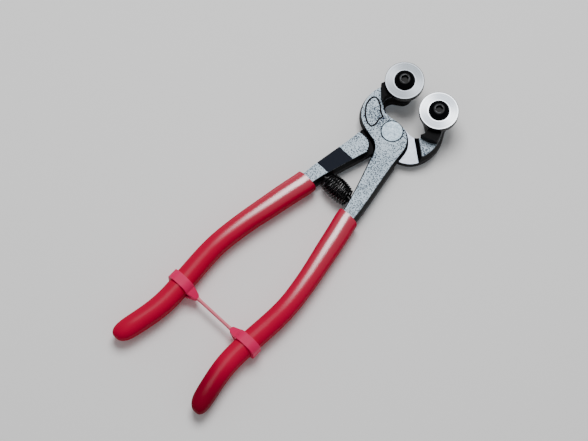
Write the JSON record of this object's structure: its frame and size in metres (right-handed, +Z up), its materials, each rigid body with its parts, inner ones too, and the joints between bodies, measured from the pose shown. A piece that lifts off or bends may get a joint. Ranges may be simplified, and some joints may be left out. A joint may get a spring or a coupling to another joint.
{
  "type": "mosaic glass nippers",
  "caption": "Wheeled glass nippers: riveted pincer arms with round carbide cutting wheels, return spring, dipped vinyl grips and a keeper strap",
  "frame": {"origin": "centre of the bounding box in X and Y, on the plane the tool lies on", "axes": "+Y from the handles to the cutting wheels, +Z up out of the plane the tool lies on, along the pivot axis, +X to the right seen from above with the wheels away"},
  "size_m": [0.0688, 0.2252, 0.0278],
  "materials": {
    "forged_steel": "forged steel, flats ground and oiled, flanks blacked",
    "rivet_steel": "smooth ground rivet head",
    "carbide": "ground tungsten carbide, concentric grinding marks",
    "black_oxide": "black oxide steel, semi gloss",
    "spring_black": "blacked spring wire",
    "grip_red": "glossy dipped vinyl",
    "strap_pink": "satin moulded vinyl"
  },
  "bodies": {
    "bottom_half": {"bottom_arm": "forged_steel", "pivot_rivet": "rivet_steel", "bottom_spring_peg": "black_oxide", "bottom_wheel_screw": "black_oxide", "bottom_arm_grip": "grip_red", "bottom_strap_loop": "strap_pink", "return_spring": "spring_black", "strap_stem": "strap_pink"},
    "top_half": {"top_arm": "forged_steel", "top_spring_peg": "black_oxide", "top_wheel_screw": "black_oxide", "top_arm_grip": "grip_red", "top_strap_loop": "strap_pink"},
    "bottom_wheel": {"bottom_cutting_wheel": "carbide"},
    "top_wheel": {"top_cutting_wheel": "carbide"}
  },
  "joints": [
    {"name": "pivot", "type": "hinge", "parent": "bottom_half", "child": "top_half", "pos_m": [0, 0.07765, 0.0087], "axis": [0, 0, -1], "range_deg": [0, 7.5], "stiffness_Nm_per_rad": 1.2, "springref_deg": -2, "deforming": ["return_spring", "strap_stem"]},
    {"name": "bottom_wheel_turn", "type": "hinge", "parent": "bottom_half", "child": "bottom_wheel", "pos_m": [0.013, 0.10155, 0.02235], "axis": [0, 0, 1], "continuous": true},
    {"name": "top_wheel_turn", "type": "hinge", "parent": "top_half", "child": "top_wheel", "pos_m": [-0.013, 0.10155, 0.02235], "axis": [0, 0, 1], "continuous": true}
  ]
}
